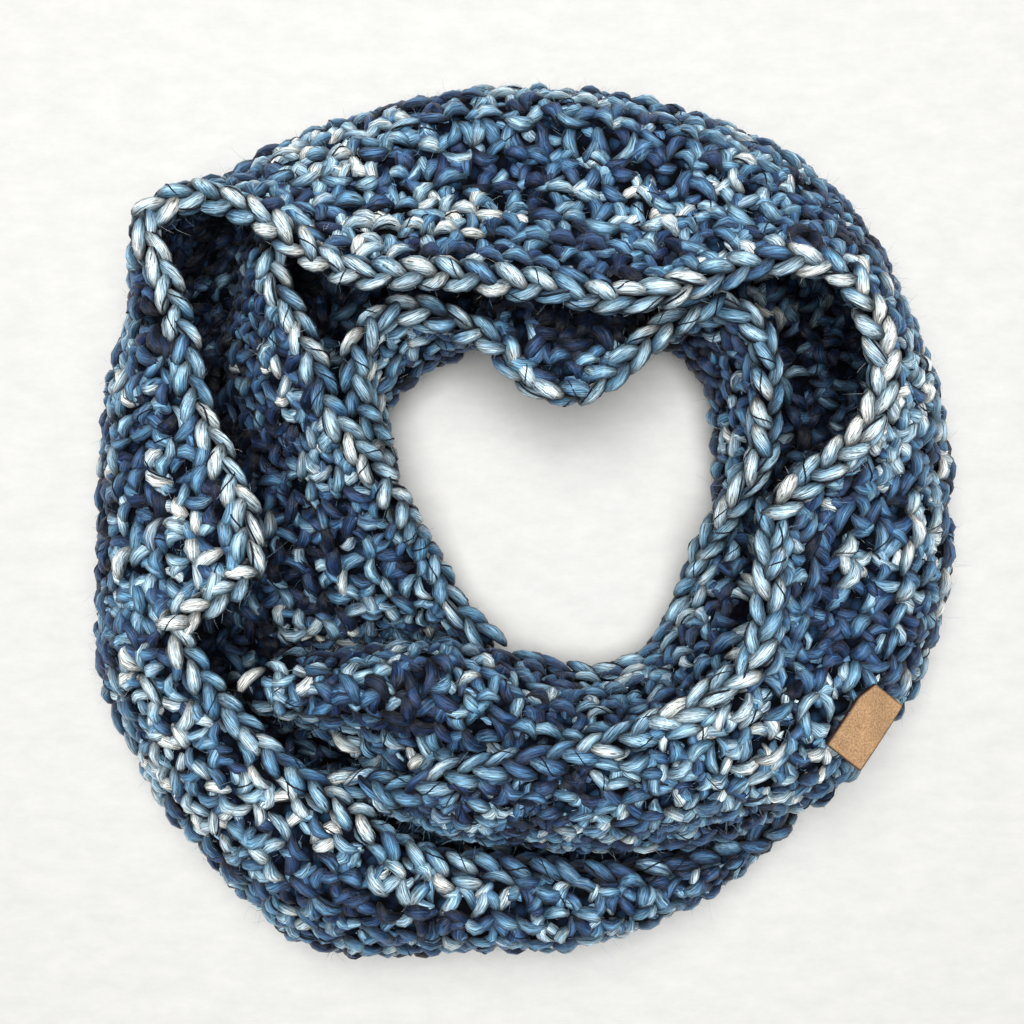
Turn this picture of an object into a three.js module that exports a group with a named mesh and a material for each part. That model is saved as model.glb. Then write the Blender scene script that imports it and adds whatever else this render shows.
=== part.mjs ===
// Infinity scarf of chunky crochet, laid down as a ring that is wound round on itself.
// Millimetres, +Z up, origin on the surface it lies on, under the middle of the ring.
import * as THREE from 'three';

// Cloth
const wallThickness = 9;
const edgeBeadRadius = 6.5;
const rowPitch = 14;
const rowRelief = 1.4;
const seamTurn = 0.13;
const hemLift = 4.2;

// The axis that radii and angles are measured from, seen from the origin
const ringAxis = { x: -0.3, y: 0.8 };

// Leather tag
const tagLength = 31;
const tagWidth = 18.5;
const tagThickness = 2;
const tagCornerCut = 3.2;
const tagCornerRun = 8.5;
const tagBow = 0.4;
const tagAt = -30.4;
const tagFromEdge = 47;
const tagTurn = -8.5;
const tagClearance = 0.5;

// Each row is one section across the band, at a winding angle in degrees.
// The guides run from the braided edge over the brow and crown to the belly and the hem,
// each with its radius from the axis (R) and its height above the surface (Z).
const guideColumns = [
  'at', 'edgeR', 'edgeZ', 'browR', 'browZ', 'crownR', 'crownZ', 'bellyR', 'bellyZ', 'hemR', 'hemZ',
];

const outerRows = [
  [-128, 136, 44, 137, 38, 139, 31, 140, 24, 142, 13.6],
  [-120, 121, 54, 126, 48, 130, 39, 132, 29, 133, 13.6],
  [-114, 115, 68, 121, 62, 124, 50, 125, 36, 127, 13.6],
  [-105, 100, 78, 111, 74, 121, 63, 126, 47, 127, 13.6],
  [-92, 92, 83, 106, 79, 119, 68, 126, 50, 127, 13.6],
  [-74, 90, 84, 107, 80, 124, 69, 134, 50, 135, 13.6],
  [-60, 91, 85, 110, 81, 130, 70, 145, 50, 147, 13.6],
  [-54, 92, 85, 112, 81, 136, 70, 151, 47, 147, 12],
  [-50, 94, 85, 114, 81, 138, 69, 154, 43, 147, 10],
  [-46, 95, 85, 116, 81, 141, 68, 159, 38, 146, 7],
  [-40, 97, 86, 118, 80, 150, 65.5, 166, 34, 137, hemLift],
  [-32, 101, 86, 119, 76, 151, 63.5, 166, 31, 136, hemLift],
  [-21, 98, 86, 115, 71, 153, 62, 173, 30, 140, hemLift],
  [-7, 94, 86, 113, 72, 155, 61.5, 175, 30, 142, hemLift],
  [2, 94, 86, 114, 74, 155, 61.5, 175, 30, 144, hemLift],
  [9, 110, 86, 127, 76, 158, 62, 176, 30, 146, hemLift],
  [16, 135, 86, 148, 77, 166, 63, 177, 30, 148.5, hemLift],
  [25, 150, 86, 160, 76, 170, 61, 178, 30, 150, hemLift],
  [37, 155, 85, 165, 76, 173, 60, 182, 30, 151.5, hemLift],
  [45, 143, 85, 157, 78, 170, 62, 186, 30, 152, hemLift],
  [54, 115, 86, 137, 78, 169, 63.5, 185, 30, 151, hemLift],
  [62, 98, 87, 128, 71, 164, 63, 183, 30, 145, hemLift],
  [74, 90, 87, 129, 65, 164, 61.5, 179, 30, 140, hemLift],
  [90, 91, 88, 131, 62, 163, 60, 176, 30, 140, hemLift],
  [108, 100, 87, 131, 66, 163, 60, 178, 30, 141, hemLift],
  [120, 110, 85, 137, 71, 167, 60.5, 182, 30, 139, hemLift],
  [126, 121, 84, 143, 74, 170, 60, 185, 30, 138, hemLift],
  [130, 140, 83, 154, 74, 171, 58, 185, 30, 136, hemLift],
  [134, 161, 81, 169, 70, 179, 54, 185, 30, 133, hemLift],
  [138, 181, 78, 184, 65, 185, 50, 184, 29, 128, hemLift],
  [142, 187, 76, 188, 62, 187, 47, 183, 28, 123, hemLift],
  [146, 180, 77, 182, 65, 183, 49, 182, 28, 118, hemLift],
  [150, 165, 78, 171, 69, 177, 53, 181, 28, 112, hemLift],
  [155, 150, 79, 161, 72, 171, 57, 179, 28, 109, hemLift],
  [162, 134, 80, 151, 75, 169, 61, 173, 29, 107, hemLift],
  [170, 117, 81, 138, 77, 164, 64, 172, 30, 105, hemLift],
  [180, 106, 82, 128, 77, 159, 64, 173, 30, 103, hemLift],
  [190, 107, 81, 130, 75, 160, 63, 177, 30, 101, hemLift],
  [195, 124, 78, 140, 73, 163, 62, 180, 30, 100, hemLift],
  [200, 142, 75, 153, 70, 169, 61, 182, 30, 99, hemLift],
  [208, 139, 71, 155, 68, 169, 58, 185, 29, 98, hemLift],
  [220, 136, 66, 155, 65, 172, 56, 188, 29, 98, hemLift],
  [232, 134, 63, 155, 63, 174, 55, 193, 28, 100, hemLift],
  [241, 135, 61, 155, 62, 175, 54, 196, 27, 102, hemLift],
  [248, 140, 56, 157, 59, 174, 52, 190, 27, 104, hemLift],
  [257, 143, 46, 157, 55, 170, 49, 181, 27, 106, hemLift],
  [268, 142, 43, 155, 51, 168, 47, 174, 27, 109, hemLift],
  [282, 149, 41, 158, 47, 168, 44, 172, 27, 116, hemLift],
  [293, 156, 37, 162, 40, 167, 37, 171, 25, 135, hemLift],
  [301, 162, 31, 165, 33, 168, 30, 171, 21, 150, hemLift],
  [307, 166, 26, 167, 24, 168.5, 20, 170, 15, 168, 6],
  [312, 168, 22, 168.5, 19, 169, 16, 169.5, 13, 170, 6.5],
];

// Where the edge runs in or out across the ring, it and the brow swing this many degrees
// round from the rest of their section, so that the section stays square to the edge.
const swingColumns = ['at', 'edgeTurn', 'browTurn', 'crownTurn'];
const outerSwing = [
  [-128, 0, 0, 0],
  [120, 0, 0, 0],
  [126, 0, -1.5, -0.5],
  [130, -0.9, -3.4, -1.6],
  [134, -2.6, -4.4, -2.2],
  [138, -2.2, -2.6, -1.2],
  [142, -0.8, 0, 0],
  [146, -2.6, 0.4, 0.4],
  [150, -3.6, 0.6, 0.6],
  [155, -3.8, 0, 0.4],
  [162, -1.6, 0, 0],
  [170, -0.6, 0, 0],
  [180, 0, 0, 0],
  [190, -0.6, -1.6, -1],
  [195, -1.6, -4, -2],
  [200, -2.8, -4.2, -2],
  [208, 0, -1, -0.5],
  [220, 0, 0, 0],
  [312, 0, 0, 0],
];

const innerRows = [
  [210, 117, 20, 114, 40, 120, 54, 133, 51, 143, 16],
  [215, 105, 21, 102, 42, 109, 57, 124, 56, 137, 18],
  [222, 86, 23, 82, 44, 89, 60, 106, 60, 128, 24],
  [230, 74, 24, 69, 45, 75, 61, 93, 63, 121, 28],
  [242, 68, 25, 61, 43, 65, 58, 82, 65, 114, 38],
  [252, 68, 24, 59, 41, 62, 56, 77, 65, 111, 46],
  [261, 66, 22, 58, 38, 61, 54, 75, 65, 110, 47],
  [270, 61, 24, 65, 42, 72, 56, 85, 64, 110, 46],
  [284, 66, 24, 73, 42, 81, 56, 92, 64, 113, 45],
  [300, 76, 22, 83, 40, 91, 54, 100, 62, 118, 43],
  [314, 80, 22, 88, 40, 96, 54, 104, 61, 121, 40],
  [326, 79, 22, 88, 40, 97, 53, 107, 58, 126, 30],
  [338, 77, 23, 88, 38, 97, 48, 108, 48, 129, 14],
  [350, 77, 30, 87, 35, 96, 36, 107, 28, 132, 5],
  [358, 80, 39, 86, 30, 93, 21, 103, 11, 133, hemLift],
  [367, 88, 47, 87, 32, 89, 18, 99, 7, 134, hemLift],
  [375, 99, 53, 93, 36, 93, 18, 103, 7, 138, hemLift],
  [388, 110, 58, 101, 38, 98, 18, 108, 7, 140, hemLift],
  [400, 121, 60, 109, 39, 102, 18, 112, 7, 141, hemLift],
  [409, 116, 61, 107, 39, 102, 18, 112, 7, 141, hemLift],
  [415, 93, 61, 94, 44, 97, 25, 107, 9, 139, hemLift],
  [420, 70, 59, 80, 54, 92, 42, 102, 22, 134, hemLift],
  [430, 57, 56, 70, 60, 85, 55, 97, 36, 129, hemLift],
  [441, 56, 56, 70, 60, 85, 55, 97, 36, 129, hemLift],
  [452, 63, 58, 75, 60, 88, 53, 98, 34, 129, hemLift],
  [459, 74, 60, 80, 51, 86, 37, 97, 17, 130, hemLift],
  [466, 81, 60, 81, 41, 84, 21, 96, 8, 130, hemLift],
  [474, 92, 60, 85, 40, 82, 20, 93, 7, 128, hemLift],
  [484, 100, 60, 89, 40, 82, 20, 93, 7, 127, hemLift],
  [492, 97, 59, 88, 40, 81, 20, 92, 7, 122, hemLift],
  [499, 90, 56, 85, 38, 80, 20, 90, 7, 114, hemLift],
  [505, 80, 50, 78, 35, 77, 19, 86, 7, 106, hemLift],
  [510, 69, 41, 70, 30, 71, 18, 78, 8, 96, hemLift],
  [516, 65, 29, 67, 22, 69, 15, 74, 8, 86, 5],
  [522, 62, 22, 64, 18, 67, 14, 71, 10, 78, 6],
];

const leftRows = [
  [126, 152, 48, 156, 43, 159, 37, 160, 31, 158, 16],
  [133.5, 147, 60, 155, 52, 159, 42, 160, 31, 157, 15.5],
  [139, 119, 60, 134, 54, 146, 43, 152, 31, 154, 15],
  [144, 103, 60, 120, 55, 135, 44, 146, 30, 150, 15],
  [149, 92, 59, 110, 54, 128, 43, 141, 28, 149, 15],
  [154, 79, 57, 98, 53, 117, 42, 132, 27, 141, 14],
  [159, 66, 54, 85, 51, 106, 41, 123, 27, 135, 14],
  [166, 57, 49, 76, 47, 98, 38, 116, 25, 131, 14],
  [175, 50, 41, 70, 41, 92, 33, 111, 24, 130, 14],
  [186, 46, 31, 66, 34, 90, 29, 109, 22, 129, 13.8],
  [196, 44, 26, 62, 29, 84, 24, 101, 19, 118, 13.8],
  [205, 43, 23, 57, 26, 74, 22, 88, 17, 102, 13.8],
  [214, 43, 22, 53, 24, 65, 20, 74, 14, 85, 8],
  [222, 44, 23, 50, 22, 57, 18, 62, 13, 68, 5],
  [230, 46, 24, 49, 21, 53, 17, 55, 13, 58, 6],
  [242, 48, 25, 50, 22, 52, 18, 54, 14, 56, 6],
  [254, 52, 25, 53, 22, 54, 18, 55, 14, 56, 6],
];

// A stretch keeps its row pitch while the band is at least fullWidth wide, and is drawn in
// where it narrows; raised rows end before the part of the wall that nothing shows.
const outerStretch = {
  rows: outerRows, swing: outerSwing, raisedRows: 8, plainSteps: 5, insideSteps: 10, fullWidth: 150,
};
const innerStretch = {
  rows: innerRows, swing: null, raisedRows: 5, plainSteps: 2, insideSteps: 8, fullWidth: 84,
};
const leftStretch = {
  rows: leftRows, swing: null, raisedRows: 4, plainSteps: 2, insideSteps: 7, fullWidth: 68,
};

const spans = [
  { name: 'over_bottom', stretch: outerStretch, from: -128, to: -50, steps: 11 },
  { name: 'outer_right', stretch: outerStretch, from: -50, to: 48, steps: 14 },
  { name: 'outer_top', stretch: outerStretch, from: 48, to: 120, steps: 9 },
  { name: 'outer_corner', stretch: outerStretch, from: 120, to: 160, steps: 12 },
  { name: 'outer_left', stretch: outerStretch, from: 160, to: 250, steps: 16 },
  { name: 'under_bottom', stretch: outerStretch, from: 250, to: 312, steps: 9 },
  { name: 'inner_bottom', stretch: innerStretch, from: 210, to: 290, steps: 10 },
  { name: 'inner_right', stretch: innerStretch, from: 290, to: 410, steps: 15 },
  { name: 'inner_top', stretch: innerStretch, from: 410, to: 522, steps: 18 },
  { name: 'inner_left', stretch: leftStretch, from: 126, to: 254, steps: 17 },
];

const yarn = new THREE.MeshStandardMaterial({ color: '#5f86ad', roughness: 0.95, metalness: 0 });
const leather = new THREE.MeshStandardMaterial({ color: '#b98452', roughness: 0.7, metalness: 0 });

// Slope of one column at one row, flat at its peaks and dips so that nothing overshoots
function slopeAt(rows, column, i) {
  const chord = (k) => (rows[k + 1][column] - rows[k][column]) / (rows[k + 1][0] - rows[k][0]);
  if (i === 0) return chord(0);
  if (i === rows.length - 1) return chord(i - 1);
  const before = chord(i - 1);
  const after = chord(i);
  return before * after <= 0 ? 0 : (2 * before * after) / (before + after);
}

// All columns of a table at a winding angle, by name
function readTable(rows, names, at) {
  let i = 0;
  while (i < rows.length - 2 && at > rows[i + 1][0]) i += 1;
  const gap = rows[i + 1][0] - rows[i][0];
  const t = THREE.MathUtils.clamp((at - rows[i][0]) / gap, 0, 1);
  const values = {};
  names.forEach((name, column) => {
    const start = (1 + 2 * t) * (1 - t) ** 2 * rows[i][column];
    const end = t * t * (3 - 2 * t) * rows[i + 1][column];
    const leave = t * (1 - t) ** 2 * gap * slopeAt(rows, column, i);
    const arrive = t * t * (t - 1) * gap * slopeAt(rows, column, i + 1);
    values[name] = start + end + leave + arrive;
  });
  return values;
}

function polarPoint(degrees, radius, height) {
  const turn = THREE.MathUtils.degToRad(degrees);
  return new THREE.Vector3(
    ringAxis.x + radius * Math.cos(turn),
    ringAxis.y + radius * Math.sin(turn),
    height,
  );
}

// The middle of the wall across the band, from edge to hem
function sectionCurve(stretch, at) {
  const g = readTable(stretch.rows, guideColumns, at);
  const swing = stretch.swing
    ? readTable(stretch.swing, swingColumns, at)
    : { edgeTurn: 0, browTurn: 0, crownTurn: 0 };
  // A hem near the surface lies along it; a higher one hangs straight from the belly
  const laid = THREE.MathUtils.clamp((8 - g.hemZ) / (8 - hemLift), 0, 1);
  const footZ = g.hemZ + 0.5 * (1 - laid) * (g.bellyZ - g.hemZ);
  const footR = g.bellyR + 0.45 * (g.hemR - g.bellyR);
  const curve = new THREE.CatmullRomCurve3([
    polarPoint(at + swing.edgeTurn, g.edgeR, g.edgeZ),
    polarPoint(at + swing.browTurn, g.browR, g.browZ),
    polarPoint(at + swing.crownTurn, g.crownR, g.crownZ),
    polarPoint(at, g.bellyR, g.bellyZ),
    polarPoint(at, footR, footZ),
    polarPoint(at, g.hemR, g.hemZ),
  ], false, 'centripetal');
  curve.arcLengthDivisions = 80;
  return curve;
}

// One place on the band: its point, the direction across it and the direction out of its face
function placeOn(stretch, at) {
  const here = sectionCurve(stretch, at);
  const behind = sectionCurve(stretch, at - 0.5);
  const ahead = sectionCurve(stretch, at + 0.5);
  const width = here.getLength();
  return (distance) => {
    const u = THREE.MathUtils.clamp(distance / width, 0, 1);
    const point = here.getPointAt(u);
    const across = here.getTangentAt(u);
    const along = ahead.getPointAt(u).sub(behind.getPointAt(u));
    const out = across.clone().cross(along).normalize();
    return { point, across, out };
  };
}

// The outline of the wall in its own plane: distance from the edge, and offset from the middle
function wallOutline(stretch, width) {
  const half = wallThickness / 2;
  const neck = Math.sqrt(edgeBeadRadius ** 2 - half ** 2);
  const drawnIn = Math.min(1, width / stretch.fullWidth);
  const raisedEnd = stretch.raisedRows * rowPitch * drawnIn;
  const outline = [{ distance: neck, offset: half }];
  for (let i = 1; i < 2 * stretch.raisedRows; i += 1) {
    const distance = neck + ((raisedEnd - neck) * i) / (2 * stretch.raisedRows);
    outline.push({ distance, offset: half + (i % 2 === 1 ? rowRelief : 0) });
  }
  for (let i = 0; i <= stretch.plainSteps; i += 1) {
    outline.push({ distance: raisedEnd + ((width - raisedEnd) * i) / stretch.plainSteps, offset: half });
  }
  for (const turn of [40, -40]) {
    const angle = THREE.MathUtils.degToRad(turn);
    outline.push({ distance: width + half * Math.cos(angle), offset: half * Math.sin(angle) });
  }
  for (let i = 0; i <= stretch.insideSteps; i += 1) {
    outline.push({ distance: width + ((neck - width) * i) / stretch.insideSteps, offset: -half });
  }
  for (const turn of [-90, -135, 180, 135, 90]) {
    const angle = THREE.MathUtils.degToRad(turn);
    outline.push({
      distance: edgeBeadRadius * Math.cos(angle),
      offset: edgeBeadRadius * Math.sin(angle),
    });
  }
  return outline;
}

// The outline set out round the section at one winding angle; nothing goes below the surface
function wallRing(stretch, at) {
  const place = placeOn(stretch, at);
  const width = sectionCurve(stretch, at).getLength();
  return wallOutline(stretch, width).map(({ distance, offset }) => {
    const inside = THREE.MathUtils.clamp(distance, 0, width);
    const { point, across, out } = place(inside);
    point.addScaledVector(across, distance - inside).addScaledVector(out, offset);
    point.z = Math.max(point.z, 0);
    return point;
  });
}

// Triangles over one end, found in the plane of the section that the ring stands in
function capFaces(ring, firstIndex, facesBack) {
  const flat = ring.map((p) => new THREE.Vector2(Math.hypot(p.x - ringAxis.x, p.y - ringAxis.y), p.z));
  return THREE.ShapeUtils.triangulateShape(flat, []).flatMap(([a, b, c]) => {
    const turn = flat[b].clone().sub(flat[a]).cross(flat[c].clone().sub(flat[a]));
    const corners = (turn > 0) === facesBack ? [a, b, c] : [a, c, b];
    return corners.map((corner) => corner + firstIndex);
  });
}

// A closed body through rings of equal length, set out one after another round the axis
function skinRings(rings) {
  const count = rings[0].length;
  const positions = rings.flatMap((ring) => ring.flatMap((p) => [p.x, p.y, p.z]));
  const faces = [];
  for (let j = 0; j < rings.length - 1; j += 1) {
    for (let i = 0; i < count; i += 1) {
      const a = j * count + i;
      const b = j * count + ((i + 1) % count);
      faces.push(a, b, a + count, b, b + count, a + count);
    }
  }
  faces.push(...capFaces(rings[0], 0, true));
  faces.push(...capFaces(rings.at(-1), (rings.length - 1) * count, false));
  const geometry = new THREE.BufferGeometry();
  geometry.setAttribute('position', new THREE.Float32BufferAttribute(positions, 3));
  geometry.setIndex(faces);
  geometry.computeVertexNormals();
  return geometry;
}

function bandSpan({ name, stretch, from, to, steps }) {
  const rings = [];
  for (let i = 0; i <= steps; i += 1) {
    const at = THREE.MathUtils.lerp(from + seamTurn, to - seamTurn, i / steps);
    rings.push(wallRing(stretch, at));
  }
  const mesh = new THREE.Mesh(skinRings(rings), yarn);
  mesh.name = name;
  return mesh;
}

// The tag is stiff: it is set out from the point of the cloth under the middle of its inner
// side, moved out, and goes straight on from there while the cloth bends away under it
function leatherTag() {
  const columns = 8;
  const rowsAcross = 4;
  const low = wallThickness / 2 + rowRelief + tagClearance;
  const { point, across, out } = placeOn(outerStretch, tagAt)(tagFromEdge);
  across.applyAxisAngle(out, THREE.MathUtils.degToRad(tagTurn));
  const along = out.clone().cross(across);
  const rings = [];
  for (let j = 0; j <= columns; j += 1) {
    const run = tagLength * (j / columns - 0.5);
    const cut = tagCornerCut * Math.max(0, 1 - (tagLength / 2 - run) / tagCornerRun);
    const sag = tagBow * (2 * run / tagLength) ** 2;
    const onTag = (i, height) => point.clone()
      .addScaledVector(along, run)
      .addScaledVector(across, cut + (tagWidth - cut) * (i / rowsAcross))
      .addScaledVector(out, height - sag);
    const ring = [];
    for (let i = 0; i <= rowsAcross; i += 1) ring.push(onTag(i, low + tagThickness));
    for (let i = rowsAcross; i >= 0; i -= 1) ring.push(onTag(i, low));
    rings.push(ring);
  }
  const mesh = new THREE.Mesh(skinRings(rings), leather);
  mesh.name = 'leather_tag';
  return mesh;
}

const scarf = new THREE.Group();
for (const span of spans) scarf.add(bandSpan(span));
scarf.add(leatherTag());

export default scarf;
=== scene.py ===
import functools
import math

import bmesh
import bpy
import numpy as np
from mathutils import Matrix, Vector
from mathutils.bvhtree import BVHTree


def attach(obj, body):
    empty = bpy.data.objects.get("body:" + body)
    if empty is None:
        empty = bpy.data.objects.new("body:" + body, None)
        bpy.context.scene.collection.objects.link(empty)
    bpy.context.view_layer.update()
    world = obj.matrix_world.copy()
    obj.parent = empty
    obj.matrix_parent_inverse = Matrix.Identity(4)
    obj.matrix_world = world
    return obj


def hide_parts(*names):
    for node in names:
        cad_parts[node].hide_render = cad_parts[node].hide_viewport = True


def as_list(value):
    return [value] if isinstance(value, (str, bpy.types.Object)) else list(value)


# An infinity scarf of chunky crochet in a hand-dyed roving yarn, laid down as a ring that is
# wound round on itself. Sizes are in metres; the guide tables are in millimetres and degrees.
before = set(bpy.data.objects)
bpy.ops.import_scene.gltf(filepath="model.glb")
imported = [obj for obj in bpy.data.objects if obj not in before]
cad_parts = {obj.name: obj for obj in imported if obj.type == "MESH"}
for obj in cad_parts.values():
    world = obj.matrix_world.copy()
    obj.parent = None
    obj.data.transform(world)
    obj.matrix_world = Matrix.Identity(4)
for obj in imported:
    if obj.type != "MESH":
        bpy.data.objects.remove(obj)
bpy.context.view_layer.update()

MM = 0.001
CHANCE = np.random.default_rng(2207)

# ------- the cloth's own sizes, the same as in the part's source
WALL = 9 * MM
ROW_PITCH = 14 * MM
ROW_RELIEF = 1.4 * MM
# Height of the middle of a wall that lies on the surface, and the ring's axis, in millimetres
HEM = 4.2
RING_AXIS = (-0.3, 0.8)

# ------- the crochet that is laid on it
STITCH_PITCH = 11.4 * MM
ROWS = 24
WOUND_IN_ROWS, WOUND_IN_BRAID = 0.15, 0.55  # share of the loops with black thread round them
FIRST_ROW_AT = 4.7 * MM
GROUND_THICKNESS = 4.4 * MM
# How far above the surface each kind of piece stays
GROUND_CLEAR, LOOP_CLEAR, FIBRE_CLEAR, THREAD_CLEAR = 0.2 * MM, 0.3 * MM, 0.6 * MM, 0.8 * MM

# ------- the tag's sizes
TAG_LENGTH = 31 * MM
TAG_WIDTH = 18.5 * MM
TAG_THICKNESS = 2 * MM
TAG_CORNER_CUT = 3.2 * MM
TAG_CORNER_RUN = 8.5 * MM
TAG_BOW = 0.4 * MM
TAG_TURN = -8.5
TAG_AT = -30.4
TAG_FROM_EDGE = 47 * MM
TAG_CLEARANCE = 0.5 * MM
TAG_SCORCH = 0.8 * MM

# Winding angle, then radius and height of the edge, brow, crown, belly and hem
OUTER_ROWS = np.array([
    [-128, 136, 44, 137, 38, 139, 31, 140, 24, 142, 13.6],
    [-120, 121, 54, 126, 48, 130, 39, 132, 29, 133, 13.6],
    [-114, 115, 68, 121, 62, 124, 50, 125, 36, 127, 13.6],
    [-105, 100, 78, 111, 74, 121, 63, 126, 47, 127, 13.6],
    [-92, 92, 83, 106, 79, 119, 68, 126, 50, 127, 13.6],
    [-74, 90, 84, 107, 80, 124, 69, 134, 50, 135, 13.6],
    [-60, 91, 85, 110, 81, 130, 70, 145, 50, 147, 13.6],
    [-54, 92, 85, 112, 81, 136, 70, 151, 47, 147, 12],
    [-50, 94, 85, 114, 81, 138, 69, 154, 43, 147, 10],
    [-46, 95, 85, 116, 81, 141, 68, 159, 38, 146, 7],
    [-40, 97, 86, 118, 80, 150, 65.5, 166, 34, 137, HEM],
    [-32, 101, 86, 119, 76, 151, 63.5, 166, 31, 136, HEM],
    [-21, 98, 86, 115, 71, 153, 62, 173, 30, 140, HEM],
    [-7, 94, 86, 113, 72, 155, 61.5, 175, 30, 142, HEM],
    [2, 94, 86, 114, 74, 155, 61.5, 175, 30, 144, HEM],
    [9, 110, 86, 127, 76, 158, 62, 176, 30, 146, HEM],
    [16, 135, 86, 148, 77, 166, 63, 177, 30, 148.5, HEM],
    [25, 150, 86, 160, 76, 170, 61, 178, 30, 150, HEM],
    [37, 155, 85, 165, 76, 173, 60, 182, 30, 151.5, HEM],
    [45, 143, 85, 157, 78, 170, 62, 186, 30, 152, HEM],
    [54, 115, 86, 137, 78, 169, 63.5, 185, 30, 151, HEM],
    [62, 98, 87, 128, 71, 164, 63, 183, 30, 145, HEM],
    [74, 90, 87, 129, 65, 164, 61.5, 179, 30, 140, HEM],
    [90, 91, 88, 131, 62, 163, 60, 176, 30, 140, HEM],
    [108, 100, 87, 131, 66, 163, 60, 178, 30, 141, HEM],
    [120, 110, 85, 137, 71, 167, 60.5, 182, 30, 139, HEM],
    [126, 121, 84, 143, 74, 170, 60, 185, 30, 138, HEM],
    [130, 140, 83, 154, 74, 171, 58, 185, 30, 136, HEM],
    [134, 161, 81, 169, 70, 179, 54, 185, 30, 133, HEM],
    [138, 181, 78, 184, 65, 185, 50, 184, 29, 128, HEM],
    [142, 187, 76, 188, 62, 187, 47, 183, 28, 123, HEM],
    [146, 180, 77, 182, 65, 183, 49, 182, 28, 118, HEM],
    [150, 165, 78, 171, 69, 177, 53, 181, 28, 112, HEM],
    [155, 150, 79, 161, 72, 171, 57, 179, 28, 109, HEM],
    [162, 134, 80, 151, 75, 169, 61, 173, 29, 107, HEM],
    [170, 117, 81, 138, 77, 164, 64, 172, 30, 105, HEM],
    [180, 106, 82, 128, 77, 159, 64, 173, 30, 103, HEM],
    [190, 107, 81, 130, 75, 160, 63, 177, 30, 101, HEM],
    [195, 124, 78, 140, 73, 163, 62, 180, 30, 100, HEM],
    [200, 142, 75, 153, 70, 169, 61, 182, 30, 99, HEM],
    [208, 139, 71, 155, 68, 169, 58, 185, 29, 98, HEM],
    [220, 136, 66, 155, 65, 172, 56, 188, 29, 98, HEM],
    [232, 134, 63, 155, 63, 174, 55, 193, 28, 100, HEM],
    [241, 135, 61, 155, 62, 175, 54, 196, 27, 102, HEM],
    [248, 140, 56, 157, 59, 174, 52, 190, 27, 104, HEM],
    [257, 143, 46, 157, 55, 170, 49, 181, 27, 106, HEM],
    [268, 142, 43, 155, 51, 168, 47, 174, 27, 109, HEM],
    [282, 149, 41, 158, 47, 168, 44, 172, 27, 116, HEM],
    [293, 156, 37, 162, 40, 167, 37, 171, 25, 135, HEM],
    [301, 162, 31, 165, 33, 168, 30, 171, 21, 150, HEM],
    [307, 166, 26, 167, 24, 168.5, 20, 170, 15, 168, 6],
    [312, 168, 22, 168.5, 19, 169, 16, 169.5, 13, 170, 6.5],
])

# Winding angle, then how far the edge, brow and crown swing round from their section
OUTER_SWING = np.array([
    [-128, 0, 0, 0], [120, 0, 0, 0], [126, 0, -1.5, -0.5], [130, -0.9, -3.4, -1.6],
    [134, -2.6, -4.4, -2.2], [138, -2.2, -2.6, -1.2], [142, -0.8, 0, 0], [146, -2.6, 0.4, 0.4],
    [150, -3.6, 0.6, 0.6], [155, -3.8, 0, 0.4], [162, -1.6, 0, 0], [170, -0.6, 0, 0],
    [180, 0, 0, 0], [190, -0.6, -1.6, -1], [195, -1.6, -4, -2], [200, -2.8, -4.2, -2],
    [208, 0, -1, -0.5], [220, 0, 0, 0], [312, 0, 0, 0],
])

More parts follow.
